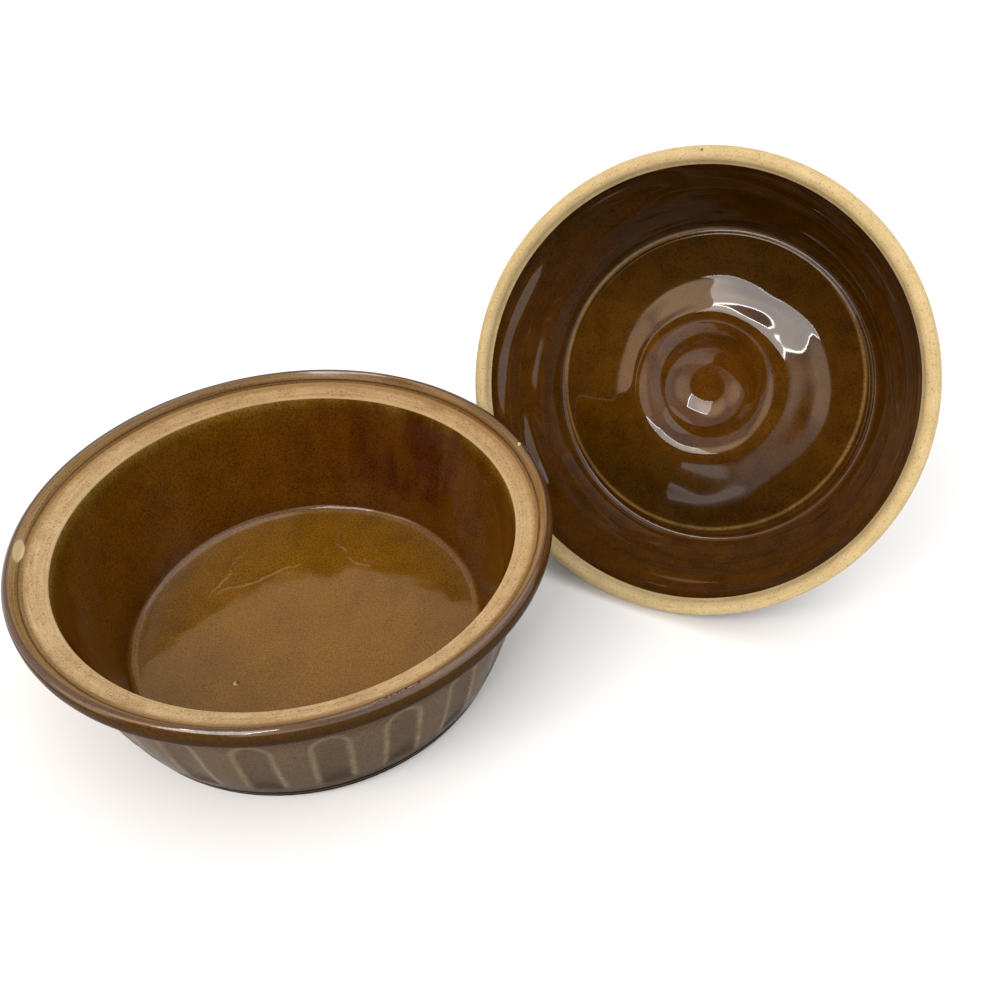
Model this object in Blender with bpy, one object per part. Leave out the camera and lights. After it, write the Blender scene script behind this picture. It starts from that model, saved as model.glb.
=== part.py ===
"""Lidded stoneware casserole: a round fluted dish, and its domed lid laid on edge beside it.

Metres, +Z up. The origin is the middle of the dish's flat base, on the table.
"""
import math

import bmesh
import bpy
from mathutils import Euler, Vector

# Dish: outer wall and floor
FOOT_RADIUS = 0.0790
FOOT_ROUNDING = 0.0015
WALL_TOP_RADIUS = 0.0924
WALL_BULGE = 0.0026
WALL_TOP_THICKNESS = 0.0051
WALL_FOOT_THICKNESS = 0.0096
SEAT_HEIGHT = 0.0620
FLOOR_THICKNESS = 0.0070
FLOOR_FILLET = 0.0045

# Dish: the sloped ledge that the lid sits on, and the lip around it
SEAT_WIDTH = 0.0090
SEAT_RISE = 0.0040
SEAT_EDGE_ROUNDING = 0.0008
LIP_HEIGHT = 0.0035
LIP_THICKNESS = 0.0053
LIP_FLARE = 0.0017
LIP_UNDERCUT = 0.0022
FLANGE_DEPTH = 0.0010
COVE_DEPTH = 0.0070

# Dish: arched flutes pressed into the wall, and the lines cut above the foot
FLUTE_COUNT = 22
FLUTE_WIDTH = 0.0128
FLUTE_HEADROOM = 0.0060
FLUTE_FOOTROOM = 0.0056
FLUTE_DEPTH = 0.0009
FOOT_LINE_COUNT = 2
FOOT_LINE_HEIGHT = 0.0035
FOOT_LINE_PITCH = 0.0033
FOOT_LINE_WIDTH = 0.0012
FOOT_LINE_DEPTH = 0.0005

# Lid: rim, dome and crown
LID_CLEARANCE = 0.0007
LID_RIM_WIDTH = 0.0060
LID_RIM_HALF_HEIGHT = 0.0034
LID_DEPTH = 0.0440
LID_WALL = 0.0060
DOME_INSET = 0.0201
DOME_BULGE = 0.0005
CROWN_FILLET = 0.0055
BOSS_WIDTH = 0.0195
BOSS_HEIGHT = 0.0025

# Lid: hollow knob
KNOB_FOOT_RADIUS = 0.0330
KNOB_WALL = 0.0055
KNOB_WAIST_RADIUS = 0.0210
KNOB_WAIST_HEIGHT = 0.0090
KNOB_HEAD_RADIUS = 0.0250
KNOB_HEAD_HEIGHT = 0.0150
KNOB_HEIGHT = 0.0205
HOLLOW_DEPTH = 0.0120

# Where the lid lies: its underside faces the front, turned and tipped up
LID_LEAN = math.radians(26.0)
LID_TURN = math.radians(-27.4)
LID_BEARING = math.radians(18.0)
LID_TUCK = 0.0110
TABLE_GAP = 0.0003

# Facets
DISH_SEGMENTS = 3 * FLUTE_COUNT
LID_SEGMENTS = 60
ARC_STEPS = 4
WALL_STEPS = 5
DOME_STEPS = (0.2, 0.4, 0.6)

MOUTH_RADIUS = WALL_TOP_RADIUS - WALL_TOP_THICKNESS
LEDGE_RADIUS = MOUTH_RADIUS + SEAT_WIDTH
LEDGE_HEIGHT = SEAT_HEIGHT + SEAT_RISE
LIP_RADIUS = LEDGE_RADIUS + LIP_THICKNESS
COVE_START = SEAT_HEIGHT - FLANGE_DEPTH - COVE_DEPTH
FOOT_LINES_END = FOOT_LINE_HEIGHT + FOOT_LINE_PITCH * (FOOT_LINE_COUNT - 1) + FOOT_LINE_WIDTH / 2
FLUTE_BOTTOM = FOOT_LINES_END + FLUTE_FOOTROOM
FLUTE_TOP = COVE_START - FLUTE_HEADROOM
LID_RADIUS = LEDGE_RADIUS - LID_CLEARANCE
LID_INSIDE_RADIUS = LID_RADIUS - LID_RIM_WIDTH
CROWN_RADIUS = LID_INSIDE_RADIUS - DOME_INSET
CROWN_TOP = LID_DEPTH + LID_WALL
HOLLOW_RADIUS = KNOB_FOOT_RADIUS - KNOB_WALL


def steps_between(start, end, count):
    """count + 1 evenly spaced numbers, both ends included."""
    return [start + (end - start) * i / count for i in range(count + 1)]


def arc(centre, radii, start, end, count=ARC_STEPS):
    """Points on an ellipse about centre, from one angle in degrees to another."""
    return [
        (centre[0] + radii[0] * math.cos(math.radians(a)), centre[1] + radii[1] * math.sin(math.radians(a)))
        for a in steps_between(start, end, count)
    ]


def rounded_corner(before, corner, after, radius, count=ARC_STEPS):
    """Points of a fillet of the given radius at a corner between two straight stretches."""
    corner = Vector(corner)
    to_before = (Vector(before) - corner).normalized()
    to_after = (Vector(after) - corner).normalized()
    half = to_before.angle(to_after) / 2
    bisector = (to_before + to_after).normalized()
    centre = corner + bisector * (radius / math.sin(half))
    first = corner + to_before * (radius / math.tan(half)) - centre
    last = corner + to_after * (radius / math.tan(half)) - centre
    turn = first.angle(last)
    return [
        tuple(centre + (first * math.sin(turn * (1 - t)) + last * math.sin(turn * t)) / math.sin(turn))
        for t in steps_between(0.0, 1.0, count)
    ]


def wall_radius(height):
    """Outer radius of the dish's wall: a cone from foot to seat that bulges in the middle."""
    u = height / SEAT_HEIGHT
    cone = FOOT_RADIUS + (WALL_TOP_RADIUS - FOOT_RADIUS) * u
    return cone + WALL_BULGE * 4 * u * (1 - u)


def inner_radius(height):
    """Inner radius of the dish's wall, which is thicker towards the floor."""
    u = height / SEAT_HEIGHT
    return wall_radius(height) - WALL_FOOT_THICKNESS - (WALL_TOP_THICKNESS - WALL_FOOT_THICKNESS) * u


def dish_outline():
    """The dish's section as (radius, height), from the middle of the base round to the floor."""
    flange_under = SEAT_HEIGHT - FLANGE_DEPTH
    lip_start = LIP_RADIUS - LIP_UNDERCUT
    crest = LEDGE_HEIGHT + LIP_HEIGHT
    crest_half = (LIP_THICKNESS - LIP_FLARE) / 2
    half_line = FOOT_LINE_WIDTH / 2

    # The base, the lines above the foot, and the wall.
    points = [(0.0, 0.0)]
    points += arc((FOOT_RADIUS - FOOT_ROUNDING, FOOT_ROUNDING), (FOOT_ROUNDING, FOOT_ROUNDING), -90, 0, 3)
    for i in range(FOOT_LINE_COUNT):
        line = FOOT_LINE_HEIGHT + FOOT_LINE_PITCH * i
        points.append((wall_radius(line - half_line), line - half_line))
        points.append((wall_radius(line) - FOOT_LINE_DEPTH, line))
        points.append((wall_radius(line + half_line), line + half_line))
    points += [(wall_radius(z), z) for z in steps_between(FOOT_LINES_END, COVE_START, WALL_STEPS)[1:-1]]

    # The cove under the flange, the outside of the lip, its crest, and the ledge.
    cove_width = lip_start - wall_radius(COVE_START)
    points += arc((lip_start, COVE_START), (cove_width, COVE_DEPTH), 180, 90)
    points += arc((lip_start, LEDGE_HEIGHT), (LIP_UNDERCUT, LEDGE_HEIGHT - flange_under), -90, 0, 3)[1:]
    points += arc((LIP_RADIUS - crest_half, crest - crest_half), (crest_half, crest_half), 0, 180, 6)
    ledge_corner = (LEDGE_RADIUS, LEDGE_HEIGHT)
    points.append(ledge_corner)

    # The rounded edge of the mouth, the inside of the wall, and the floor.
    under_edge = SEAT_HEIGHT - 2 * SEAT_EDGE_ROUNDING
    wall_below = (inner_radius(under_edge), under_edge)
    points += rounded_corner(ledge_corner, (MOUTH_RADIUS, SEAT_HEIGHT), wall_below, SEAT_EDGE_ROUNDING, 2)
    fillet_top = FLOOR_THICKNESS + FLOOR_FILLET
    points += [(inner_radius(z), z) for z in steps_between(SEAT_HEIGHT, fillet_top, WALL_STEPS)[1:-1]]
    points += rounded_corner(
        (inner_radius(fillet_top), fillet_top), (inner_radius(FLOOR_THICKNESS), FLOOR_THICKNESS),
        (0.0, FLOOR_THICKNESS), FLOOR_FILLET)
    points.append((0.0, FLOOR_THICKNESS))
    return points


def dome_side(start, end, t):
    """A point part of the way up a dome's side, which bulges out from the straight line start to end."""
    start = Vector(start)
    end = Vector(end)
    along = (end - start).normalized()
    outwards = Vector((along.y, -along.x))
    return tuple(start.lerp(end, t) + outwards * DOME_BULGE * 4 * t * (1 - t))


def lid_outline():
    """The lid's section as (radius, height above its rim), from inside the knob round to the knob's top."""
    rim_middle = LID_RADIUS - LID_RIM_WIDTH / 2
    boss_level = LID_DEPTH - BOSS_HEIGHT
    inside = ((LID_INSIDE_RADIUS, LID_RIM_HALF_HEIGHT), (CROWN_RADIUS, LID_DEPTH))

    # The underside: the knob's hollow, the boss around it, the crown, and the side of the dome.
    points = arc((0.0, boss_level), (HOLLOW_RADIUS, HOLLOW_DEPTH), 90, 15, 6)
    for t in steps_between(0.0, 1.0, ARC_STEPS):
        drop = BOSS_HEIGHT * (1 + math.cos(math.pi * t)) / 2
        points.append((HOLLOW_RADIUS + BOSS_WIDTH * t, LID_DEPTH - drop))
    points += rounded_corner(points[-1], inside[1], dome_side(*inside, DOME_STEPS[-1]), CROWN_FILLET)
    points += [dome_side(*inside, t) for t in reversed(DOME_STEPS)]

    # The rounded rim, and the outside of the dome at the wall's thickness from the inside.
    points += arc((rim_middle, LID_RIM_HALF_HEIGHT), (LID_RIM_WIDTH / 2, LID_RIM_HALF_HEIGHT), 180, 360, 8)
    slope = DOME_INSET / (LID_DEPTH - LID_RIM_HALF_HEIGHT)
    shoulder = CROWN_RADIUS - slope * LID_WALL + LID_WALL * math.hypot(1.0, slope)
    outside = ((LID_RADIUS, LID_RIM_HALF_HEIGHT), (shoulder, CROWN_TOP))
    points += [dome_side(*outside, t) for t in DOME_STEPS]
    points += rounded_corner(
        points[-1], outside[1], (KNOB_FOOT_RADIUS, CROWN_TOP), CROWN_FILLET + LID_WALL / 2)

    # The knob: a coved foot, a waist, and a rounded head.
    waist = CROWN_TOP + KNOB_WAIST_HEIGHT
    head = CROWN_TOP + KNOB_HEAD_HEIGHT
    cove = KNOB_FOOT_RADIUS - KNOB_WAIST_RADIUS
    flare = KNOB_HEAD_RADIUS - KNOB_WAIST_RADIUS
    points += arc((KNOB_FOOT_RADIUS, waist), (cove, KNOB_WAIST_HEIGHT), 270, 180)
    points += arc((KNOB_WAIST_RADIUS, head), (flare, head - waist), -60, 0, 3)
    points += arc((0.0, head), (KNOB_HEAD_RADIUS, KNOB_HEIGHT - KNOB_HEAD_HEIGHT), 0, 90, 5)[1:]
    return points


def turned(name, outline, segments):
    """A closed body made by turning an outline about Z; its first and last points are on the axis."""
    shape = bmesh.new()
    verts = [shape.verts.new((r, 0.0, z)) for r, z in outline]
    edges = [shape.edges.new(pair) for pair in zip(verts, verts[1:])]
    bmesh.ops.spin(
        shape, geom=verts + edges, cent=(0, 0, 0), axis=(0, 0, 1), angle=2 * math.pi, steps=segments,
        use_merge=True)
    bmesh.ops.remove_doubles(shape, verts=shape.verts, dist=1e-6)
    bmesh.ops.recalc_face_normals(shape, faces=shape.faces)
    mesh = bpy.data.meshes.new(name)
    shape.to_mesh(mesh)
    shape.free()
    mesh.shade_smooth()
    mesh.set_sharp_from_angle(angle=math.radians(35))
    body = bpy.data.objects.new(name, mesh)
    bpy.context.scene.collection.objects.link(body)
    return body


def cut_away(body, cutter):
    """Subtract cutter from body with a Boolean modifier, and show the cutter as a guide only."""
    modifier = body.modifiers.new(cutter.name, 'BOOLEAN')
    modifier.operation = 'DIFFERENCE'
    modifier.solver = 'EXACT'
    modifier.object = cutter
    cutter.hide_render = True
    cutter.display_type = 'WIRE'


def flute_core():
    """The wall without the depth of the flutes: what the flutes' cutters leave standing."""
    heights = steps_between(FLUTE_BOTTOM - FLUTE_WIDTH / 2, FLUTE_TOP + FLUTE_WIDTH / 2, WALL_STEPS)
    outline = [(0.0, heights[0])]
    outline += [(wall_radius(z) - FLUTE_DEPTH, z) for z in heights]
    outline.append((0.0, heights[-1]))
    return turned('flute_core', outline, DISH_SEGMENTS)


def flute_cutters():
    """One arch-topped bar for each flute, pointing out from the axis all round the wall."""
    half = FLUTE_WIDTH / 2
    arch = [(-half, FLUTE_BOTTOM), (half, FLUTE_BOTTOM)]
    arch += arc((0.0, FLUTE_TOP - half), (half, half), 0, 180, 8)
    shape = bmesh.new()
    for i in range(FLUTE_COUNT):
        turn = Euler((0, 0, 2 * math.pi * i / FLUTE_COUNT)).to_matrix()
        inside = [shape.verts.new(turn @ Vector((x, -FOOT_RADIUS / 2, z))) for x, z in arch]
        face = shape.faces.new(inside)
        bar = bmesh.ops.extrude_face_region(shape, geom=[face])
        ends = [v for v in bar['geom'] if isinstance(v, bmesh.types.BMVert)]
        bmesh.ops.translate(shape, verts=ends, vec=turn @ Vector((0.0, -LIP_RADIUS, 0.0)))
    bmesh.ops.recalc_face_normals(shape, faces=shape.faces)
    mesh = bpy.data.meshes.new('flute_cutters')
    shape.to_mesh(mesh)
    shape.free()
    bars = bpy.data.objects.new('flute_cutters', mesh)
    bpy.context.scene.collection.objects.link(bars)
    return bars


def glaze(name, colour, roughness):
    """A glossy glaze over fired clay."""
    material = bpy.data.materials.new(name)
    material.use_nodes = True
    shader = material.node_tree.nodes['Principled BSDF']
    shader.inputs['Base Color'].default_value = (*colour, 1.0)
    shader.inputs['Roughness'].default_value = roughness
    shader.inputs['Metallic'].default_value = 0.0
    return material


def make_dish():
    """The dish: one thrown piece of stoneware, with its flutes pressed into the wall."""
    dish = turned('dish', dish_outline(), DISH_SEGMENTS)
    bars = flute_cutters()
    cut_away(bars, flute_core())
    cut_away(dish, bars)
    dish.data.materials.append(glaze('dish_glaze', (0.16, 0.075, 0.022), 0.22))
    return dish


def make_lid():
    """The lid: one piece with its hollow knob, lying on its rim to the right of the dish."""
    outline = lid_outline()
    lid = turned('lid', outline, LID_SEGMENTS)
    lid.data.materials.append(glaze('lid_glaze', (0.10, 0.042, 0.008), 0.15))

    # In plan the rim is an ellipse. It comes within the lip's circle by the tuck, below the lip.
    across = math.cos(LID_BEARING - LID_TURN)
    away = math.sin(LID_BEARING - LID_TURN) * math.sin(LID_LEAN)
    distance = LIP_RADIUS + LID_RADIUS * math.hypot(across, away) - LID_TUCK
    drop = max(r * math.cos(LID_LEAN) + z * math.sin(LID_LEAN) for r, z in outline)
    lid.location = (
        distance * math.cos(LID_BEARING), distance * math.sin(LID_BEARING), drop + TABLE_GAP)
    lid.rotation_euler = (-math.pi / 2 - LID_LEAN, 0.0, LID_TURN)
    return lid


for old in list(bpy.data.objects):
    bpy.data.objects.remove(old, do_unlink=True)

make_dish()
make_lid()
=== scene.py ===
"""Brown-glazed stoneware casserole: the dish, and its lid taken off and laid on edge beside it."""
import math

import bpy
from mathutils import Euler, Matrix, Vector, noise


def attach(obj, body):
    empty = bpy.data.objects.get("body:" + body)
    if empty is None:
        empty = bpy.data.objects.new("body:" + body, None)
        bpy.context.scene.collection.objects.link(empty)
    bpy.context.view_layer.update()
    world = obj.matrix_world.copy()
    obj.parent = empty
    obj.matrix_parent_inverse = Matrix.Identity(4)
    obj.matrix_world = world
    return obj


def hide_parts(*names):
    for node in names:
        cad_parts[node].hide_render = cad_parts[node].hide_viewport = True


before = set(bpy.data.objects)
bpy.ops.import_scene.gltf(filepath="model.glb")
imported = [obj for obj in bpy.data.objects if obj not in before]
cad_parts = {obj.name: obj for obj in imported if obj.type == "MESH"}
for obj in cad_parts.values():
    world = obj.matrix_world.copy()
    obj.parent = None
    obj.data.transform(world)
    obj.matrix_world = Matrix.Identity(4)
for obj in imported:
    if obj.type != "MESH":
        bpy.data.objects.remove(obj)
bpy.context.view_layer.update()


# Dish
# One thrown piece of buff stoneware: foot, wall, floor, ledge for the lid and lip, with arched
# flutes pressed into the wet wall. It was dipped in brown glaze, and the ledge and base were wiped
# bare before firing.

# Sizes in mm. The wall is a cone from foot to seat that bulges in the middle and thins upwards.
SEAT_HEIGHT = 62
FOOT_RADIUS = 79
WALL_LEAN = 13.4
WALL_BULGE = 10.4
FOOT_THICKNESS = 9.6
WALL_THINNING = 4.5
# The flutes: how many, half their width, the heights where their round heads begin and where they
# end, how deep they are, and how far their edges stand proud.
FLUTES = 22
FLUTE_HALF_WIDTH = 6.4
FLUTE_HEAD = 41.6
FLUTE_FOOT = 12.5
FLUTE_DEPTH = 0.6
FLUTE_EDGE = 0.08
# A row of drops of glaze set along the front of the lip: degrees round it, and half the length.
DROPS = ((26.8, 2.6), (29.4, 1.6), (31.2, 1.4), (33.4, 2.4))
DROP_HALF_WIDTH = 1.1
DROP_RISE = 0.38
LIP_TOP_RADIUS = 99.2
LIP_TOP_HEIGHT = 69.3


def arc(centre, radii, start, end, count):
    """Points on an ellipse about centre, from one angle in degrees to another."""
    points = []
    for i in range(count + 1):
        angle = math.radians(start + (end - start) * i / count)
        points.append((centre[0] + radii[0] * math.cos(angle),
                       centre[1] + radii[1] * math.sin(angle)))
    return points


def straight(start, end, count):
    """Points after start on the way to end, which is the last of them."""
    return [(start[0] + (end[0] - start[0]) * i / count, start[1] + (end[1] - start[1]) * i / count)
            for i in range(1, count + 1)]


def turned(name, section, sectors, steps):
    """A shell turned about Z from its half section, (radius, height) in mm from axis to axis."""
    bpy.ops.object.select_all(action="DESELECT")
    bpy.ops.mesh.primitive_plane_add(size=0.002)
    piece = bpy.context.object
    piece.name = name
    bpy.ops.object.mode_set(mode="EDIT")
    bpy.ops.mesh.select_all(action="SELECT")
    bpy.ops.mesh.merge(type="CENTER")
    bpy.ops.transform.translate(value=(section[0][0] / 1000, 0, section[0][1] / 1000))
    for (radius, height), (next_radius, next_height) in zip(section, section[1:]):
        step = ((next_radius - radius) / 1000, 0, (next_height - height) / 1000)
        bpy.ops.mesh.extrude_region_move(TRANSFORM_OT_translate={"value": step})
    bpy.ops.mesh.select_all(action="SELECT")
    bpy.ops.mesh.spin(steps=steps, angle=math.tau / sectors, center=(0, 0, 0), axis=(0, 0, 1))
    bpy.ops.mesh.select_all(action="SELECT")
    bpy.ops.mesh.spin(steps=sectors - 1, angle=math.tau * (sectors - 1) / sectors, dupli=True,
                      center=(0, 0, 0), axis=(0, 0, 1))
    bpy.ops.mesh.select_all(action="SELECT")
    bpy.ops.mesh.remove_doubles(threshold=0.000005)
    bpy.ops.mesh.normals_make_consistent(inside=False)
    bpy.ops.object.mode_set(mode="OBJECT")
    bpy.ops.object.shade_smooth()
    return piece


def on_wheel(point):
    """How far a point is from the axis that the piece was turned on, and how high, in mm."""
    return math.hypot(point.x, point.y) * 1000, point.z * 1000


def wall_radius(height):
    """Outside of the dish's wall."""
    up = height / SEAT_HEIGHT
    return FOOT_RADIUS + WALL_LEAN * up + WALL_BULGE * up * (1 - up)


def inner_radius(height):
    """Inside of the dish's wall."""
    return wall_radius(height) - FOOT_THICKNESS + WALL_THINNING * height / SEAT_HEIGHT


# Half section: base, foot and two turned lines.
section = [(0.0, 0.0)] + straight((0.0, 0.0), (72.0, 0.0), 6)
section += arc((77.5, 1.5), (1.5, 1.5), -90, -6, 5)
for line in (3.5, 6.8):
    for offset, depth in ((-0.9, 0.0), (-0.5, 0.2), (-0.2, 0.48), (0.2, 0.48), (0.5, 0.2),
                          (0.9, 0.0)):
        section.append((wall_radius(line + offset) - depth, line + offset))
# Wall, cove under the lip, and lip.
section += [(wall_radius(8.8 + 1.1 * i), 8.8 + 1.1 * i) for i in range(41)]
section += arc((99.3, 54.0), (99.3 - wall_radius(54.0), 7.0), 174, 90, 9)
section += [(99.95, 61.15), (100.65, 61.8), (101.15, 62.8), (101.4, 64.0), (101.45, 65.4),
            (101.42, 66.6), (101.3, 67.4), (101.05, 68.0), (100.6, 68.5), (100.05, 68.95),
            (99.5, 69.25), (99.0, 69.38), (98.55, 69.2), (98.2, 68.75), (97.7, 68.0), (97.2, 67.2),
            (96.75, 66.5), (96.45, 66.12), (96.0, 65.85)]
# Ledge, inside of the wall, and floor.
section += straight((96.0, 65.85), (88.6, 62.62), 6)
section += [(88.0, 62.32), (87.6, 62.0), (87.35, 61.5), (87.22, 60.8)]
section += [(inner_radius(59.0 - 2.2 * i), 59.0 - 2.2 * i) for i in range(22)]
section += arc((69.5, 11.5), (4.5, 4.5), -24, -90, 9)
section += straight((69.5, 7.0), (0.0, 7.0), 8)

dish = turned("dish_stoneware", section, sectors=FLUTES, steps=30)

# Each flute is scooped out of the wall, deepest along its middle, and shallower towards its foot.
# Round it the wall rises to the proud edge, 1.1 mm wide.
for vertex in dish.data.vertices:
    radius, height = on_wheel(vertex.co)
    if radius < wall_radius(height) - 1 or not 8.5 < height < 53:
        continue
    around = math.atan2(vertex.co.x, -vertex.co.y) * FLUTES / math.tau
    across = abs(around - round(around)) * math.tau / FLUTES * radius
    from_sides = FLUTE_HALF_WIDTH - math.hypot(across, max(height - FLUTE_HEAD, 0))
    inside = min(from_sides, (height - FLUTE_FOOT) * 0.7)
    if inside > 0:
        depth = FLUTE_DEPTH * (1 - (1 - min(inside / FLUTE_HALF_WIDTH, 1)) ** 2.2)
    else:
        depth = -FLUTE_EDGE * math.exp(-(inside / 1.1) ** 2)
    vertex.co.x *= 1 - depth / radius
    vertex.co.y *= 1 - depth / radius

# The drops stand up from the top of the lip.
for vertex in dish.data.vertices:
    radius, height = on_wheel(vertex.co)
    if radius < 97.5 or height < 67.5:
        continue
    around = math.atan2(vertex.co.x, -vertex.co.y)
    aside = math.hypot(radius - LIP_TOP_RADIUS, height - LIP_TOP_HEIGHT) / DROP_HALF_WIDTH
    for way_round, length in DROPS:
        along = (around - math.radians(way_round)) * LIP_TOP_RADIUS / length
        vertex.co.z += DROP_RISE / 1000 * max(1 - math.hypot(along, aside) ** 2, 0)


def linear(code):
    """A colour from its sRGB hex code."""
    channels = [int(code[i:i + 2], 16) / 255 for i in (0, 2, 4)]
    return [c / 12.92 if c <= 0.04045 else ((c + 0.055) / 1.055) ** 2.4 for c in channels] + [1.0]


def connect(owner, made, links):
    """Sets a node's sockets, each to a value or by a link from another socket or node."""
    for name, value in links.items():
        if isinstance(value, bpy.types.Node):
            value = next(socket for socket in value.outputs if socket.enabled)
        if isinstance(value, bpy.types.NodeSocket):
            owner.node_tree.links.new(value, made.inputs[name])
        else:
            made.inputs[name].default_value = value


def node(owner, kind, links=None, stops=None, **settings):
    """Adds a node with its settings, links and colour stops."""
    made = owner.node_tree.nodes.new("ShaderNode" + kind)
    for name, value in settings.items():
        setattr(made, name, value)
    connect(owner, made, links or {})
    for i, (place, code) in enumerate(stops or []):
        ramp = made.color_ramp.elements
        stop = ramp[i] if i < 2 else ramp.new(place)
        stop.position = place
        stop.color = linear(code)
    return made


def thrown(name, place=(0, 0, 0), turn=(0, 0, 0)):
    """A new material for a thrown piece, its shader, and where each point of the piece is: its
    place in mm, how far out from the axis, how high, and which way from the axis."""
    material = bpy.data.materials.new(name)
    material.use_nodes = True
    shader = material.node_tree.nodes["Principled BSDF"]
    at = node(material, "TexCoord").outputs["Object"]
    mm = node(material, "Mapping", {0: at, 1: place, 2: turn, 3: (0.001, 0.001, 0.001)},
              vector_type="TEXTURE")
    flat = node(material, "VectorMath", {0: mm, 1: (1, 1, 0)}, operation="MULTIPLY")
    out = node(material, "VectorMath", {0: flat}, operation="LENGTH")
    up = node(material, "SeparateXYZ", {0: mm}).outputs["Z"]
    way = node(material, "VectorMath", {0: flat}, operation="NORMALIZE")
    return material, shader, mm, out, up, way


def bare_clay(name, tones, place=(0, 0, 0), turn=(0, 0, 0)):
    """Bare stoneware, wiped and fired: dry and matt, with sand grains and streaks along the way the
    wheel turned. Its tones are low, middle and high sand, and the dark grains."""
    clay, shader, mm, out, _, way = thrown(name, place, turn)
    # Sand grains of 0.5 mm, faint streaks 0.8 mm wide and some 20 mm long, and patches of 8 mm.
    grains = node(clay, "TexNoise", {"Vector": mm, "Scale": 2.0, "Detail": 3.0, "Roughness": 0.75})
    along = node(clay, "VectorMath", {0: way, 1: (4.5, 4.5, 0)}, operation="MULTIPLY")
    across = node(clay, "Math", {0: out, 1: 1.25}, operation="MULTIPLY")
    streaks = node(clay, "TexNoise", {"Vector": along, "W": across, "Scale": 1.0, "Detail": 3.0,
                                      "Roughness": 0.6}, noise_dimensions="4D")
    patches = node(clay, "TexNoise", {"Vector": mm, "Scale": 0.12, "Detail": 2.0})
    sand = node(clay, "Math", {0: streaks, 1: 0.45, 2: grains}, operation="MULTIPLY_ADD")
    sand = node(clay, "Math", {0: patches, 1: 0.3, 2: sand}, operation="MULTIPLY_ADD")
    sand = node(clay, "MapRange", {0: sand, 1: 0.6, 2: 1.15})
    colour = node(clay, "ValToRGB", {0: sand},
                  stops=[(0.1, tones[0]), (0.5, tones[1]), (0.9, tones[2])])
    # Scattered darker grains, some 0.7 mm across.
    dots = node(clay, "TexVoronoi", {"Vector": mm, "Scale": 0.55})
    dots = node(clay, "MapRange", {0: dots.outputs["Distance"], 1: 0.26, 2: 0.14, 4: 0.7})
    colour = node(clay, "Mix", {0: dots, 6: colour, 7: linear(tones[3])}, data_type="RGBA")
    bump = node(clay, "Bump", {"Height": sand, "Strength": 0.5, "Distance": 0.00015})
    connect(clay, shader, {"Normal": bump, "Roughness": 0.85, "IOR": 1.5,
                           "Specular IOR Level": 0.25})
    return clay, shader, mm, out, colour


# The ledge and base: bare and buff, with a brown stain of 16 mm at one place, in blots of 2.5 mm.
ledge_clay, shader, mm, out, colour = bare_clay("bare_buff_stoneware",
                                                ("8a6c42", "b2946a", "c9ac80", "80603a"))
stain = node(ledge_clay, "VectorMath", {0: mm, 1: (54.3, 78.6, 65.5)}, operation="DISTANCE")
blot = node(ledge_clay, "TexNoise", {"Vector": mm, "Scale": 0.4, "Detail": 2.0})
stain = node(ledge_clay, "MapRange", {0: stain, 1: 8.0, 2: 3.0, 4: 0.8})
stain = node(ledge_clay, "Math", {0: stain, 1: blot}, operation="MULTIPLY")
colour = node(ledge_clay, "Mix", {0: stain, 6: colour, 7: linear("6a4012")}, data_type="RGBA")
# A pale line is painted along its inner edge as its highlight.
edge_highlight = node(ledge_clay, "MapRange", {0: out, 1: 88.4, 2: 87.6, 4: 0.5})
colour = node(ledge_clay, "Mix", {0: edge_highlight, 6: colour, 7: linear("d9be92")}, data_type="RGBA")
# Towards the lip a thin wash of glaze turns it tan, along an uneven edge that lies 1.5 mm further
# in on the far side. It is also a little darker towards the far side.
far_side = node(ledge_clay, "SeparateXYZ", {0: mm}).outputs["Y"]
far_side = node(ledge_clay, "MapRange", {0: far_side, 1: -20.0, 2: 80.0, 4: 0.7})
wash = node(ledge_clay, "Math", {0: blot, 1: 2.4, 2: out}, operation="MULTIPLY_ADD")
wash = node(ledge_clay, "Math", {0: far_side, 1: 2.1, 2: wash}, operation="MULTIPLY_ADD")
wash = node(ledge_clay, "MapRange", {0: wash, 1: 94.8, 2: 95.8, 4: 0.8})
colour = node(ledge_clay, "Mix", {0: wash, 6: colour, 7: linear("957449")}, data_type="RGBA")
colour = node(ledge_clay, "Mix", {0: far_side, 6: colour, 7: linear("d8d0c4")},
              data_type="RGBA", blend_type="MULTIPLY")
connect(ledge_clay, shader, {"Base Color": colour})

# Brown glaze inside: glossy, thick and dark on the wall, with runs, and thinner and ochre on the
# floor. Specks of 0.8 mm and clouds of 12 mm.
inside_glaze, shader, mm, _, up, _ = thrown("brown_glaze_inside_dish")
speckle = node(inside_glaze, "TexNoise", {"Vector": mm, "Scale": 1.3, "Detail": 4.0,
                                          "Roughness": 0.65})
clouds = node(inside_glaze, "TexNoise", {"Vector": mm, "Scale": 0.08, "Detail": 3.0})
tone = node(inside_glaze, "MapRange", {0: up, 1: 6.0, 2: 62.0})
tone = node(inside_glaze, "ValToRGB", {0: tone},
            stops=[(0.0, "82590c"), (0.03, "7c5008"), (0.06, "5a3206"), (0.25, "6a3f03"),
                   (0.75, "6d4203"), (0.90, "704a0a"), (0.96, "876422"), (1.0, "9c7c3c")])
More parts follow.
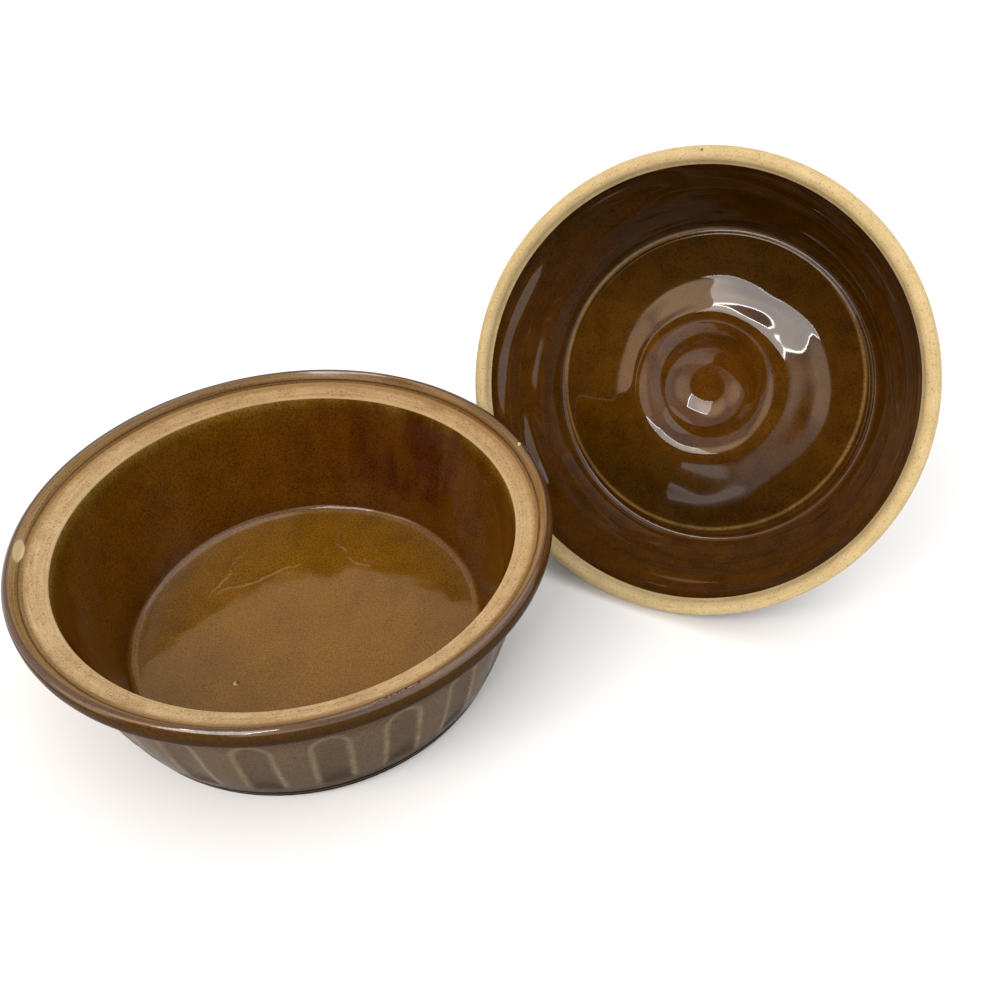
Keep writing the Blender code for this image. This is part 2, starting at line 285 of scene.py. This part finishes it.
# Runs down the wall, about 9 mm wide, thick and red-brown at the back on the right and faint
# elsewhere.
runs = node(inside_glaze, "VectorMath", {0: mm, 1: (0.11, 0.11, 0.012)}, operation="MULTIPLY")
runs = node(inside_glaze, "TexNoise", {"Vector": runs, "Scale": 1.0, "Detail": 2.0})
thick_glaze_and_shade = node(inside_glaze, "MapRange", {0: runs, 1: 0.34, 2: 0.62, 3: 0.4, 4: 1.0})
wall = node(inside_glaze, "MapRange", {0: up, 1: 12.0, 2: 22.0})
thick_glaze_and_shade = node(inside_glaze, "Math", {0: thick_glaze_and_shade, 1: wall}, operation="MULTIPLY")
near = node(inside_glaze, "VectorMath", {0: mm, 1: (38.0, 72.0, 35.0)}, operation="DISTANCE")
near = node(inside_glaze, "MapRange", {0: near, 1: 20.0, 2: 75.0, 3: 1.0, 4: 0.12})
thick_glaze_and_shade = node(inside_glaze, "Math", {0: thick_glaze_and_shade, 1: near}, operation="MULTIPLY")
colour = node(inside_glaze, "Mix", {0: thick_glaze_and_shade, 6: tone, 7: linear("4c2203")}, data_type="RGBA")
cloudy = node(inside_glaze, "ValToRGB", {0: clouds}, stops=[(0.3, "e0dcd4"), (0.6, "ffffff")])
colour = node(inside_glaze, "Mix", {0: 0.8, 6: colour, 7: cloudy},
              data_type="RGBA", blend_type="MULTIPLY")
specks = node(inside_glaze, "ValToRGB", {0: speckle},
              stops=[(0.34, "706858"), (0.5, "dcdad6"), (0.64, "ffffff")])
colour = node(inside_glaze, "Mix", {0: 0.8, 6: colour, 7: specks},
              data_type="RGBA", blend_type="MULTIPLY")
# A pit of 2 mm, dark, with a pale edge on one side where the glaze drew back.
for place, size, code in (((-24.1, -32.5, 7.0), 1.2, "b89868"),
                          ((-23.5, -32.1, 7.0), 1.0, "2a1604")):
    pit = node(inside_glaze, "VectorMath", {0: mm, 1: place}, operation="DISTANCE")
    pit = node(inside_glaze, "MapRange", {0: pit, 1: size, 2: size - 0.4})
    colour = node(inside_glaze, "Mix", {0: pit, 6: colour, 7: linear(code)}, data_type="RGBA")
# The surface swells and sinks over some 17 mm.
swell = node(inside_glaze, "TexNoise", {"Vector": mm, "Scale": 0.06, "Detail": 0.6})
bump = node(inside_glaze, "Bump", {"Height": swell, "Strength": 0.6, "Distance": 0.001})
bump = node(inside_glaze, "Bump", {"Height": speckle, "Strength": 0.06, "Distance": 0.0002,
                                   "Normal": bump})
# Four runs of glaze that set as low ridges on the floor, 4 mm wide, wavering by some 5 mm over each
# 10 mm: where, turned by how many degrees, and half the length.
waver = node(inside_glaze, "TexNoise", {"Vector": mm, "Scale": 0.1, "Detail": 3.0})
waver = node(inside_glaze, "VectorMath", {0: waver.outputs["Color"], 1: (10, 10, 0), 2: mm},
             operation="MULTIPLY_ADD")
ridges = 0.0
for place, turn, length in (((-36.4, 35.0, 7.0), 74, 21), ((-22.0, 31.0, 7.0), 32, 24),
                            ((12.4, 56.0, 7.0), -68, 10), ((21.6, 42.7, 7.0), -38, 8)):
    ridge = node(inside_glaze, "Mapping", {0: waver, 1: place, 2: (0, 0, math.radians(turn)),
                                           3: (length, 2.0, 4.0)}, vector_type="TEXTURE")
    ridge = node(inside_glaze, "VectorMath", {0: ridge}, operation="LENGTH")
    ridge = node(inside_glaze, "MapRange", {0: ridge, 1: 1.0, 2: 0.2},
                 interpolation_type="SMOOTHSTEP")
    ridges = node(inside_glaze, "Math", {0: ridges, 1: ridge}, operation="MAXIMUM")
bump = node(inside_glaze, "Bump", {"Height": ridges, "Strength": 1.0, "Distance": 0.0003,
                                   "Normal": bump})
rough = node(inside_glaze, "MapRange", {0: clouds, 1: 0.3, 2: 0.7, 3: 0.03, 4: 0.09})
connect(inside_glaze, shader, {"Base Color": colour, "Normal": bump, "Roughness": rough,
                               "IOR": 1.5})

# The same glaze outside: satin, broken to a soft pale line round each flute and pooled dark at its
# foot. Specks of 0.8 mm and clouds of 7 mm.
outside_glaze, shader, mm, out, up, _ = thrown("brown_glaze_outside_dish")
speckle = node(outside_glaze, "TexNoise", {"Vector": mm, "Scale": 1.2, "Detail": 4.0,
                                           "Roughness": 0.65})
clouds = node(outside_glaze, "TexNoise", {"Vector": mm, "Scale": 0.14, "Detail": 3.0})
# Darker towards the foot; darkest at 63 mm, painted shade in the cove and on the face under the
# lip.
tone = node(outside_glaze, "MapRange", {0: up, 1: 0.0, 2: 70.0})
tone = node(outside_glaze, "ValToRGB", {0: tone},
            stops=[(0.0, "140c06"), (0.09, "2c2016"), (0.18, "584836"), (0.62, "655342"),
                   (0.80, "523a26"), (0.90, "34220e"), (0.97, "4a3216")])
# Distance in mm from the outline of the nearest flute, which is less than 0 inside it.
sides = node(outside_glaze, "SeparateXYZ", {0: mm})
front = node(outside_glaze, "Math", {0: sides.outputs["Y"], 1: -1.0}, operation="MULTIPLY")
turn = node(outside_glaze, "Math", {0: sides.outputs["X"], 1: front}, operation="ARCTAN2")
turn = node(outside_glaze, "Math", {0: turn, 1: FLUTES / math.tau}, operation="MULTIPLY")
turn = node(outside_glaze, "Math", {0: turn, 1: 0.5}, operation="PINGPONG")
across = node(outside_glaze, "Math", {0: turn, 1: out}, operation="MULTIPLY")
across = node(outside_glaze, "Math", {0: across, 1: math.tau / FLUTES}, operation="MULTIPLY")
above = node(outside_glaze, "Math", {0: up, 1: FLUTE_HEAD}, operation="SUBTRACT")
above = node(outside_glaze, "Math", {0: above, 1: 0.0}, operation="MAXIMUM")
edge = node(outside_glaze, "CombineXYZ", {0: across, 1: above})
edge = node(outside_glaze, "VectorMath", {0: edge}, operation="LENGTH")
edge = node(outside_glaze, "Math", {0: edge, 1: FLUTE_HALF_WIDTH}, operation="SUBTRACT")
on_wall = node(outside_glaze, "MapRange", {0: up, 1: 10.0, 2: 16.0})
hollow = node(outside_glaze, "MapRange", {0: edge, 1: 0.0, 2: -2.5, 4: 0.3})
hollow = node(outside_glaze, "Math", {0: hollow, 1: on_wall}, operation="MULTIPLY")
colour = node(outside_glaze, "Mix", {0: hollow, 6: tone, 7: linear("463626")}, data_type="RGBA")
pooled = node(outside_glaze, "MapRange", {0: up, 1: 26.0, 2: 13.0, 4: 2.0})
pooled = node(outside_glaze, "Math", {0: pooled, 1: hollow}, operation="MULTIPLY")
colour = node(outside_glaze, "Mix", {0: pooled, 6: colour, 7: linear("20160c")}, data_type="RGBA")
ridge = node(outside_glaze, "Math", {0: edge}, operation="ABSOLUTE")
ridge = node(outside_glaze, "MapRange", {0: ridge, 1: 1.9, 2: 0.0},
             interpolation_type="SMOOTHSTEP")
ridge = node(outside_glaze, "Math", {0: ridge, 1: on_wall}, operation="MULTIPLY")
broken = node(outside_glaze, "MapRange", {0: clouds, 1: 0.35, 2: 0.65, 3: 0.3, 4: 0.7})
ridge = node(outside_glaze, "Math", {0: ridge, 1: broken}, operation="MULTIPLY")
colour = node(outside_glaze, "Mix", {0: ridge, 6: colour, 7: linear("8a7a62")}, data_type="RGBA")
specks = node(outside_glaze, "ValToRGB", {0: speckle},
              stops=[(0.34, "a4a4a4"), (0.5, "eeeeee"), (0.66, "ffffff")])
colour = node(outside_glaze, "Mix", {0: 0.7, 6: colour, 7: specks},
              data_type="RGBA", blend_type="MULTIPLY")
# The surface swells and sinks over some 7 mm. Thin and worn, it reflects far less than glass.
swell = node(outside_glaze, "TexNoise", {"Vector": mm, "Scale": 0.14, "Detail": 2.0})
bump = node(outside_glaze, "Bump", {"Height": swell, "Strength": 0.3, "Distance": 0.0004})
bump = node(outside_glaze, "Bump", {"Height": speckle, "Strength": 0.08, "Distance": 0.0002,
                                    "Normal": bump})
rough = node(outside_glaze, "MapRange", {0: clouds, 1: 0.3, 2: 0.7, 3: 0.14, 4: 0.3})
connect(outside_glaze, shader, {"Base Color": colour, "Normal": bump, "Roughness": rough,
                                "IOR": 1.06})

# On the lip it is glossy, and so thin on the slope inside that the clay shows through it as tan,
# with wheel streaks 1 mm wide and some 30 mm long, and specks of 0.7 mm. It begins as a dull wash
# on the edge of the ledge, and a line of painted shade runs along the foot of the slope.
lip_glaze, shader, mm, out, _, way = thrown("brown_glaze_lip")
along = node(lip_glaze, "VectorMath", {0: way, 1: (3.0, 3.0, 0)}, operation="MULTIPLY")
along = node(lip_glaze, "VectorMath", {0: mm, 1: (0, 0, 1.3), 2: along}, operation="MULTIPLY_ADD")
streaks = node(lip_glaze, "TexNoise", {"Vector": along, "W": out, "Scale": 1.0, "Detail": 3.0,
                                       "Roughness": 0.6}, noise_dimensions="4D")
speckle = node(lip_glaze, "TexNoise", {"Vector": mm, "Scale": 1.4, "Detail": 4.0,
                                       "Roughness": 0.65})
tone = node(lip_glaze, "MapRange", {0: out, 1: 94.5, 2: 101.5})
# The dark stop at 0.26 is painted shade in the crease where the slope meets the ledge.
tone = node(lip_glaze, "ValToRGB", {0: tone},
            stops=[(0.0, "9c7c52"), (0.17, "8c6c44"), (0.22, "82623c"), (0.26, "533818"),
                   (0.31, "8c6a3e"), (0.40, "a8834f"), (0.53, "9c7642"), (0.59, "7a5628"),
                   (0.64, "3e240c"), (0.71, "5a3a16"), (0.83, "5c3c1a"), (0.95, "3e2610")])
specks = node(lip_glaze, "Math", {0: speckle, 1: streaks}, operation="ADD")
specks = node(lip_glaze, "MapRange", {0: specks, 1: 0.6, 2: 1.4})
specks = node(lip_glaze, "ValToRGB", {0: specks},
              stops=[(0.3, "a8a098"), (0.5, "ececec"), (0.7, "ffffff")])
colour = node(lip_glaze, "Mix", {0: 0.8, 6: tone, 7: specks},
              data_type="RGBA", blend_type="MULTIPLY")
# It is darker towards the far side.
far_side = node(lip_glaze, "SeparateXYZ", {0: mm}).outputs["Y"]
far_side = node(lip_glaze, "MapRange", {0: far_side, 1: -10.0, 2: 60.0})
colour = node(lip_glaze, "Mix", {0: far_side, 6: colour, 7: linear("c4b898")},
              data_type="RGBA", blend_type="MULTIPLY")
# Two chips knocked out down to the clay, the larger 12 by 4 mm.
for place, size in (((-95.3, -18.9, 67.2), (1.9, 6.0, 2.4)), ((89.2, 41.6, 69.1), (0.8, 0.9, 0.9))):
    chip = node(lip_glaze, "Mapping", {0: mm, 1: place, 2: (0, 0, 0.196), 3: size},
                vector_type="TEXTURE")
    chip = node(lip_glaze, "VectorMath", {0: chip}, operation="LENGTH")
    ragged = node(lip_glaze, "Math", {0: speckle, 1: 0.4, 2: chip}, operation="MULTIPLY_ADD")
    chip = node(lip_glaze, "MapRange", {0: ragged, 1: 1.25, 2: 1.1})
    colour = node(lip_glaze, "Mix", {0: chip, 6: colour, 7: linear("c4aa7c")}, data_type="RGBA")
# The surface swells and sinks over some 12 mm.
swell = node(lip_glaze, "TexNoise", {"Vector": mm, "Scale": 0.08, "Detail": 1.0})
bump = node(lip_glaze, "Bump", {"Height": swell, "Strength": 0.2, "Distance": 0.0004})
bump = node(lip_glaze, "Bump", {"Height": streaks, "Strength": 0.1, "Distance": 0.0002,
                                "Normal": bump})
# The skin of the drops, rounder than the mesh alone gives it.
drops = 0.0
for way_round, length in DROPS:
    side = math.radians(way_round)
    place = (LIP_TOP_RADIUS * math.sin(side), -LIP_TOP_RADIUS * math.cos(side), LIP_TOP_HEIGHT)
    drop = node(lip_glaze, "Mapping", {0: mm, 1: place, 2: (0, 0, side),
                                       3: (length, DROP_HALF_WIDTH, 1.4)}, vector_type="TEXTURE")
    drop = node(lip_glaze, "VectorMath", {0: drop}, operation="LENGTH")
    drop = node(lip_glaze, "MapRange", {0: drop, 1: 1.0, 2: 0.4}, interpolation_type="SMOOTHSTEP")
    drops = node(lip_glaze, "Math", {0: drops, 1: drop}, operation="ADD")
bump = node(lip_glaze, "Bump", {"Height": drops, "Strength": 1.0, "Distance": 0.0005,
                                "Normal": bump})
# Dull at its inner edge, and on top a little more mirror-like than glass.
rough = node(lip_glaze, "MapRange", {0: out, 1: 95.5, 2: 98.5, 3: 0.5, 4: 0.06})
gloss = node(lip_glaze, "MapRange", {0: out, 1: 96.4, 2: 98.2, 3: 0.05, 4: 0.5})
connect(lip_glaze, shader, {"Base Color": colour, "Normal": bump, "Roughness": rough,
                            "Specular IOR Level": gloss, "IOR": 1.65})

OUTSIDE, INSIDE, BARE, LIP = range(4)
for material in (outside_glaze, inside_glaze, ledge_clay, lip_glaze):
    dish.data.materials.append(material)
for face in dish.data.polygons:
    radius, height = on_wheel(face.center)
    if height < 0.2 or (61.0 < height < 66.0 and 87.3 < radius < 94.8):
        face.material_index = BARE
    elif radius < inner_radius(max(height, 9.7)) + 1.0:
        face.material_index = INSIDE
    elif height > 61.0 and not (radius > 100.7 and height < 68.2):
        face.material_index = LIP
    else:
        face.material_index = OUTSIDE

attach(dish, "dish")
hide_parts("dish")


# Lid
# A second thrown piece of the same stoneware: a flat-topped dome with a half-round rim and a hollow
# knob. Its rim was wiped bare before firing. It lies on edge on the table, underside to the viewer.

# Where the middle of its rim lies, in metres, and how it is turned.
LID_PLACE = (0.15603, 0.0507, 0.08839)
LID_TURN = (math.radians(-116.0), 0.0, math.radians(-27.4))
# How far off centre the underside was thrown, how far the boss is shifted and out of round, and how
# high or deep the hand's other marks are, in metres.
OFF_CENTRE_X = 0.0020
OFF_CENTRE_Y = 0.0016
BOSS_SHIFT = 0.0042
BOSS_SPREAD = 0.0028
BOSS_WOBBLE = 0.0012
BOSS_DENTS = 0.0009
FINGER_GROOVE = 0.00003
DOME_RIDGES = 0.0015

# Half section from the middle of the underside: hollow of the knob, and the boss round it.
section = arc((0.0, 44.8), (21.0, 8.5), 90, 35, 18)
section += [(18.2, 49.0), (19.2, 48.2), (20.2, 47.3), (21.2, 46.4), (22.4, 45.35), (24.0, 44.1),
            (26.0, 42.9), (28.0, 42.05), (30.0, 41.5), (32.5, 41.15), (34.0, 41.1), (35.5, 41.3)]
section += straight((35.5, 41.3), (48.5, 43.9), 8)
# Crown with its sharp ring, dome, and rim.
section += [(49.6, 44.05), (51.0, 44.12), (53.0, 44.12), (56.5, 44.05), (60.0, 43.95)]
section += [(63.0, 43.85), (65.0, 43.7), (66.0, 43.5), (66.6, 43.38), (67.1, 43.4), (67.6, 43.65),
            (68.2, 43.95), (69.0, 44.0), (69.8, 43.6), (70.6, 42.8), (71.4, 41.4)]
section += straight((71.4, 41.4), (89.6, 3.6), 22)
section += arc((92.5, 3.4), (2.9, 3.4), 184, 356, 24)
# Back along the outside: dome, shoulder, top, and knob.
section += straight((95.4, 3.6), (75.5, 45.1), 22)
section += arc((67.85, 41.45), (8.5, 8.5), 31, 90, 11)
section += straight((67.85, 49.95), (33.0, 49.95), 12)
section += arc((33.0, 59.0), (12.0, 9.05), 264, 180, 14)
section += [(21.25, 59.35), (21.8, 59.62)]
section += arc((20.9, 65.0), (3.7, 5.8), -60, 0, 8)
section += arc((0.0, 65.0), (24.6, 5.3), 4, 90, 18)

lid = turned("lid_stoneware", section, sectors=24, steps=20)

# Marks of the hand, on the underside alone: it was thrown a little off centre, the boss is out of
# round and dented, and fades into the crown towards one side, a fingertip's shallow groove winds
# out from the middle of the hollow, 6 mm from turn to turn, and throwing left low ridges round the
# inside of the dome, which leans 0.9 out and 0.43 up.
for vertex in lid.data.vertices:
    radius, height = on_wheel(vertex.co)
    angle = math.atan2(vertex.co.y, vertex.co.x)
    in_hollow = radius < 20 and height < 54
    on_top = height > 49.5 or height + 2.08 * radius > 196
    if on_top and not in_hollow:
        continue
    off_centre = min(max((89 - radius) / 12, 0), 1)
    vertex.co.x += OFF_CENTRE_X * off_centre * min(max((radius - 40) / 15, 0), 1)
    vertex.co.y += OFF_CENTRE_Y * off_centre
    if 28 < radius < 62:
        drift = math.sin(math.pi * (radius - 28) / 34) ** 2
        wobble = BOSS_WOBBLE * math.cos(3 * angle + 0.6)
        vertex.co.x += drift * (BOSS_SHIFT - BOSS_SPREAD * math.cos(angle)
                                + wobble * math.cos(angle))
        vertex.co.y += drift * wobble * math.sin(angle)
        crown_height = 41.2 + (radius - 30) * 0.086
        vertex.co.z += drift * max(math.sin(angle), 0) ** 2 * (crown_height - height) / 1000
        dent = noise.noise(Vector((1.6 * math.cos(angle), 1.6 * math.sin(angle), 0.07 * radius)))
        vertex.co.z += BOSS_DENTS * drift * dent
    elif radius < 12:
        groove = math.cos(math.tau * (radius / 6 - angle / math.tau))
        vertex.co.z += FINGER_GROOVE * groove * min(radius / 5, 1) * min((12 - radius) / 3, 1)
    elif 72 < radius < 89:
        ridge = noise.noise(Vector((1.8 * math.cos(angle), 1.8 * math.sin(angle), 0.36 * radius)))
        depth = DOME_RIDGES * ridge * min((radius - 72) / 4, (89 - radius) / 3, 1)
        vertex.co.x += 0.9 * depth * math.cos(angle)
        vertex.co.y += 0.9 * depth * math.sin(angle)
        vertex.co.z += 0.43 * depth

lid.rotation_euler = LID_TURN
lid.location = LID_PLACE
bpy.ops.object.transform_apply(location=True, rotation=True, scale=True)

# The rim: the same bare clay, paler and creamier, because nothing has rubbed or stained it, but for
# one dark speck of 1 mm.
rim_clay, shader, mm, _, colour = bare_clay("bare_cream_stoneware",
                                            ("ab9263", "c3ab7c", "d2bd90", "9b8253"),
                                            LID_PLACE, LID_TURN)
speck = node(rim_clay, "VectorMath", {0: mm, 1: (-16.4, -91.7, 0.5)}, operation="DISTANCE")
speck = node(rim_clay, "MapRange", {0: speck, 1: 0.8, 2: 0.4})
colour = node(rim_clay, "Mix", {0: speck, 6: colour, 7: linear("4a3418")}, data_type="RGBA")
connect(rim_clay, shader, {"Base Color": colour})

# Brown glaze on the lid: very glossy, dark and thick on the dome, thinner and mottled warm brown on
# the crown. Specks of 0.8 mm and clouds of 9 mm.
lid_glaze, shader, mm, out, up, _ = thrown("brown_glaze_lid", LID_PLACE, LID_TURN)
speckle = node(lid_glaze, "TexNoise", {"Vector": mm, "Scale": 1.2, "Detail": 4.0,
                                       "Roughness": 0.65})
clouds = node(lid_glaze, "TexNoise", {"Vector": mm, "Scale": 0.11, "Detail": 3.0})
tone = node(lid_glaze, "MapRange", {0: out, 1: 0.0, 2: 96.0})
tone = node(lid_glaze, "ValToRGB", {0: tone},
            stops=[(0.0, "603806"), (0.22, "603806"), (0.30, "603a08"), (0.42, "583606"),
                   (0.685, "533204"), (0.708, "4c2c02"), (0.76, "563103"), (0.90, "543003"),
                   (0.945, "2a1604")])
# Underneath, a sharp ring runs round the crown, and a pale line of 2 mm on it is painted highlight.
ring_highlight = node(lid_glaze, "Math", {0: out, 1: 66.8}, operation="SUBTRACT")
ring_highlight = node(lid_glaze, "Math", {0: ring_highlight}, operation="ABSOLUTE")
ring_highlight = node(lid_glaze, "MapRange", {0: ring_highlight, 1: 1.1, 2: 0.0})
below = node(lid_glaze, "MapRange", {0: up, 1: 48.0, 2: 46.0})
ring_highlight = node(lid_glaze, "Math", {0: ring_highlight, 1: below}, operation="MULTIPLY")
tone = node(lid_glaze, "Mix", {0: ring_highlight, 6: tone, 7: linear("947240")}, data_type="RGBA")
# Painted shade, darker towards two sides of the crown and the downward side of the dome.
side = node(lid_glaze, "SeparateXYZ", {0: mm}).outputs["Y"]
crown = node(lid_glaze, "Math", {0: side}, operation="ABSOLUTE")
crown = node(lid_glaze, "MapRange", {0: crown, 1: 15.0, 2: 52.0, 3: 1.0, 4: 0.55})
dome = node(lid_glaze, "MapRange", {0: side, 1: -80.0, 2: 0.0, 3: 0.4, 4: 1.0})
on_dome = node(lid_glaze, "MapRange", {0: out, 1: 64.0, 2: 69.0})
thick_glaze_and_shade = node(lid_glaze, "Mix", {0: on_dome, 2: crown, 3: dome})
tone = node(lid_glaze, "Mix", {0: 1.0, 6: tone, 7: thick_glaze_and_shade}, data_type="RGBA", blend_type="MULTIPLY")
cloudy = node(lid_glaze, "ValToRGB", {0: clouds}, stops=[(0.32, "d0d0d0"), (0.6, "ffffff")])
colour = node(lid_glaze, "Mix", {0: 0.8, 6: tone, 7: cloudy},
              data_type="RGBA", blend_type="MULTIPLY")
specks = node(lid_glaze, "ValToRGB", {0: speckle},
              stops=[(0.34, "848484"), (0.5, "eeeeee"), (0.66, "ffffff")])
colour = node(lid_glaze, "Mix", {0: 0.7, 6: colour, 7: specks},
              data_type="RGBA", blend_type="MULTIPLY")
# Five dark pits, 1.4 mm across.
for place in ((16.7, -35.2, 41.8), (37.2, -29.1, 43.0), (44.2, -54.7, 43.4), (-52.3, -64.2, 17.8),
              (-76.0, -32.1, 18.3)):
    pit = node(lid_glaze, "Mapping", {0: mm, 1: place, 3: (1.0, 1.0, 2.5)}, vector_type="TEXTURE")
    pit = node(lid_glaze, "VectorMath", {0: pit}, operation="LENGTH")
    pit = node(lid_glaze, "MapRange", {0: pit, 1: 0.9, 2: 0.5})
    colour = node(lid_glaze, "Mix", {0: pit, 6: colour, 7: linear("180c02")}, data_type="RGBA")
# The surface swells and sinks over some 17 mm.
swell = node(lid_glaze, "TexNoise", {"Vector": mm, "Scale": 0.06, "Detail": 1.0})
bump = node(lid_glaze, "Bump", {"Height": swell, "Strength": 0.2, "Distance": 0.0006})
connect(lid_glaze, shader, {"Base Color": colour, "Normal": bump, "Roughness": 0.04, "IOR": 1.5})

GLAZED, RIM = range(2)
lid.data.materials.append(lid_glaze)
lid.data.materials.append(rim_clay)
upright = Euler(LID_TURN).to_matrix().inverted()
for face in lid.data.polygons:
    radius, height = on_wheel(upright @ (face.center - Vector(LID_PLACE)))
    face.material_index = RIM if height < 5.2 and radius > 88.7 else GLAZED

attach(lid, "lid")
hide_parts("lid")


# Table
# A plain white table top, painted matt, and wide enough to fill the view. It belongs to the studio
# and not to the object.

bpy.ops.object.select_all(action="DESELECT")
bpy.ops.mesh.primitive_plane_add(size=12.0, location=(0, 0, -0.0002))
table = bpy.context.object
table.name = "table_top"
# White paint: an even, matt white with hardly any shine.
paint = bpy.data.materials.new("matt_white_paint")
paint.use_nodes = True
connect(paint, paint.node_tree.nodes["Principled BSDF"],
        {"Base Color": linear("f4f4f4"), "Roughness": 0.9, "Specular IOR Level": 0.1})
table.data.materials.append(paint)


# Studio
# A white room with warm bright walls on the left, behind the viewer and at the far end, a dark gap
# between them, a weak fill on the right, a soft light overhead, and a window of soft light with
# bright edges. The camera stands where the photograph was taken from.

world = bpy.data.worlds.new("studio")
bpy.context.scene.world = world
world.use_nodes = True
look = node(world, "TexCoord").outputs["Generated"]
# Bright walls: which way, the cosines at which each begins and is full, and how bright. The dark
# gap, the far end and the fill are made in the same way.
glow = 0.0
for way, start, end, power in (((-0.902, -0.346, 0.259), 0.961, 0.996, 1.0),
                               ((-0.621, -0.485, 0.616), 0.94, 0.99, 1.5),
                               ((-0.077, -0.880, 0.470), 0.94, 0.996, 0.75)):
    side = node(world, "VectorMath", {0: look, 1: way}, operation="DOT_PRODUCT")
    side = node(world, "MapRange", {0: side, 1: start, 2: end, 4: power},
                interpolation_type="SMOOTHSTEP")
    glow = node(world, "Math", {0: glow, 1: side}, operation="MAXIMUM")
dark = node(world, "VectorMath", {0: look, 1: (-0.566, -0.750, 0.342)}, operation="DOT_PRODUCT")
dark = node(world, "MapRange", {0: dark, 1: 0.9135, 2: 0.966, 3: 1.0, 4: 0.05},
            interpolation_type="SMOOTHSTEP")
far = node(world, "VectorMath", {0: look, 1: (-0.2, 0.64, 0.74)}, operation="DOT_PRODUCT")
far = node(world, "MapRange", {0: far, 1: 0.93, 2: 0.98}, interpolation_type="SMOOTHSTEP")
fill = node(world, "VectorMath", {0: look, 1: (0.750, -0.600, 0.280)}, operation="DOT_PRODUCT")
fill = node(world, "MapRange", {0: fill, 1: 0.75, 2: 0.95, 4: 0.5},
            interpolation_type="SMOOTHSTEP")
room = node(world, "Math", {0: glow, 1: 1.9, 2: 0.75}, operation="MULTIPLY_ADD")
room = node(world, "Math", {0: far, 1: 0.6, 2: room}, operation="MULTIPLY_ADD")
room = node(world, "Math", {0: room, 1: fill}, operation="ADD")
room = node(world, "Math", {0: room, 1: dark}, operation="MULTIPLY")
warm = node(world, "Math", {0: glow, 1: far}, operation="MAXIMUM")
tint = node(world, "Mix", {0: warm, 6: linear("f8fbff"), 7: linear("ffe0bc")}, data_type="RGBA")
connect(world, world.node_tree.nodes["Background"], {"Strength": room, "Color": tint})

bpy.ops.object.light_add(type="SUN", rotation=(math.radians(-6), math.radians(26), 0))
light = bpy.context.object
light.name = "overhead"
light.data.energy = 0.85
light.data.angle = math.radians(60)

# A window: a pane of soft light with brighter strips along its four edges. Each is so far aside and
# up from the middle, so wide and high, in metres, and so strong.
window = Vector((-0.42, -0.78, 1.02))
facing = (Vector((0.1, 0.0, 0.05)) - window).to_track_quat("-Z", "Y")
for aside, over, width, height, power in ((0.0, 0.0, 0.66, 0.44, 4.6),
                                          (0.0, 0.215, 0.66, 0.02, 1.3),
                                          (0.0, -0.215, 0.66, 0.02, 1.3),
                                          (-0.32, 0.0, 0.02, 0.41, 0.8),
                                          (0.32, 0.0, 0.02, 0.41, 0.8)):
    bpy.ops.object.light_add(type="AREA", location=window + facing @ Vector((aside, over, 0.0)))
    light = bpy.context.object
    light.name = "window"
    light.rotation_euler = facing.to_euler()
    light.data.shape = "RECTANGLE"
    light.data.size = width
    light.data.size_y = height
    light.data.energy = power

# The camera, worked out from the ellipses that the round rims make in the photograph.
bpy.ops.object.camera_add(location=(0.083224, -0.264680, 0.299764))
camera = bpy.context.object
camera.rotation_euler = Matrix(((0.99996698, 0.00618477, 0.00527173),
                                (0.0, 0.64869581, -0.7610478),
                                (-0.00812665, 0.76102267, 0.64867439))).to_euler()
camera.data.sensor_width = 36.0
camera.data.lens = 33.26
bpy.context.scene.camera = camera
bpy.context.scene.view_settings.view_transform = "Standard"
